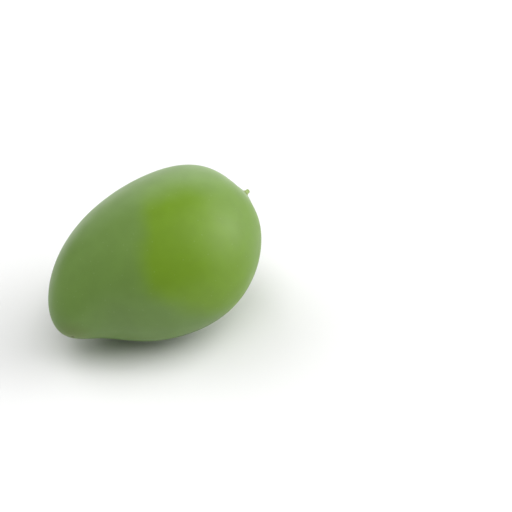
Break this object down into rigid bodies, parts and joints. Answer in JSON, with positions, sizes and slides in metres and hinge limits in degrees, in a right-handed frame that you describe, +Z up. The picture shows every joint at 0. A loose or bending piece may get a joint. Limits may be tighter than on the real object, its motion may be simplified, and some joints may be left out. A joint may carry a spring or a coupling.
{
  "type": "mango",
  "caption": "Whole green mango lying on its cheek, egg-shaped with a blunt beak, a low neck at the stalk end and a short stub of stalk.",
  "frame": {"origin": "under the middle of the fruit's box, on the surface that it lies on", "axes": "+X from the beak towards the stalk, along the longest side of the box; +Y towards the convex back; +Z up, with the fruit lying on its lower cheek"},
  "size_m": [0.1262, 0.086, 0.0817],
  "materials": {
    "mango_skin": "satin",
    "stalk": "matte"
  },
  "bodies": {
    "root": {"mango_fruit": "mango_skin", "stalk_stub": "stalk"}
  },
  "joints": []
}
